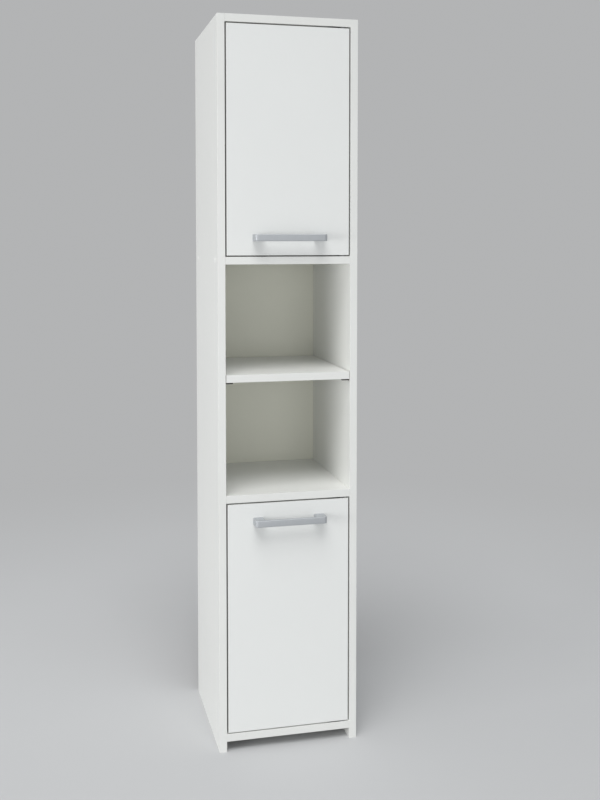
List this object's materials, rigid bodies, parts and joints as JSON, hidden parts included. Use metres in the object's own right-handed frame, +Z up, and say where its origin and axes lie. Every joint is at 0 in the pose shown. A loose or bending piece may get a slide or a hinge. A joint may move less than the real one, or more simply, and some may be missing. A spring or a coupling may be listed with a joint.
{
  "type": "tall bathroom cabinet",
  "caption": "Tall narrow bathroom cabinet on its side panels: flush hinged doors with bar handles above and below open niches, loose shelves inside.",
  "frame": {"origin": "on the floor under the side panels, at the middle of the whole box, handles and nail heads included", "axes": "+Z up, the doors face -Y, +X to the right as seen by someone facing the doors"},
  "size_m": [0.302, 0.3504, 1.543],
  "materials": {
    "carcass_board": "white melamine, satin",
    "door_board": "white melamine, satin",
    "back_sheet": "white lacquered hardboard",
    "handle_silver": "silver, satin",
    "beech": "raw, fluted",
    "white_plastic": "semi-gloss",
    "grey_nylon": "matt",
    "magnet_black": "matt",
    "zinc_cast": "cast zinc",
    "burnished_steel": "burnished dark",
    "zinc_steel": "bright zinc plated"
  },
  "bodies": {
    "root": {"back_nails": "zinc_steel", "back_panel": "back_sheet", "bottom_panel": "carcass_board", "cam_bolts": "zinc_steel", "cam_discs": "zinc_cast", "divider_screws": "zinc_steel", "dowels": "beech", "left_side_panel": "carcass_board", "lower_catch_housing": "white_plastic", "lower_catch_magnet": "magnet_black", "lower_catch_screws": "zinc_steel", "lower_divider": "carcass_board", "lower_pivot_carcass_plates": "zinc_steel", "lower_pivot_carcass_screws": "zinc_steel", "lower_pivot_pins": "zinc_steel", "lower_pivot_washers": "grey_nylon", "lower_shelf": "carcass_board", "lower_shelf_pins": "burnished_steel", "middle_shelf": "carcass_board", "middle_shelf_pins": "burnished_steel", "right_side_panel": "carcass_board", "screw_caps": "white_plastic", "top_panel": "carcass_board", "upper_catch_housing": "white_plastic", "upper_catch_magnet": "magnet_black", "upper_catch_screws": "zinc_steel", "upper_divider": "carcass_board", "upper_pivot_carcass_plates": "zinc_steel", "upper_pivot_carcass_screws": "zinc_steel", "upper_pivot_pins": "zinc_steel", "upper_pivot_washers": "grey_nylon", "upper_shelf": "carcass_board", "upper_shelf_pins": "burnished_steel", "wall_bracket": "zinc_steel", "wall_bracket_screws": "zinc_steel"},
    "upper_door": {"upper_door": "door_board", "upper_handle": "handle_silver", "upper_handle_screws": "zinc_steel", "upper_pivot_door_plates": "zinc_steel", "upper_pivot_door_screws": "zinc_steel", "upper_strike_plate": "zinc_steel", "upper_strike_screw": "zinc_steel"},
    "lower_door": {"lower_door": "door_board", "lower_handle": "handle_silver", "lower_handle_screws": "zinc_steel", "lower_pivot_door_plates": "zinc_steel", "lower_pivot_door_screws": "zinc_steel", "lower_strike_plate": "zinc_steel", "lower_strike_screw": "zinc_steel"}
  },
  "joints": [
    {"name": "upper_door_swing", "type": "hinge", "parent": "root", "child": "upper_door", "pos_m": [0.119, -0.13725, 1.0465], "axis": [0, 0, 1], "range_deg": [0, 120]},
    {"name": "lower_door_swing", "type": "hinge", "parent": "root", "child": "lower_door", "pos_m": [0.119, -0.13725, 0.038], "axis": [0, 0, 1], "range_deg": [0, 120]}
  ]
}
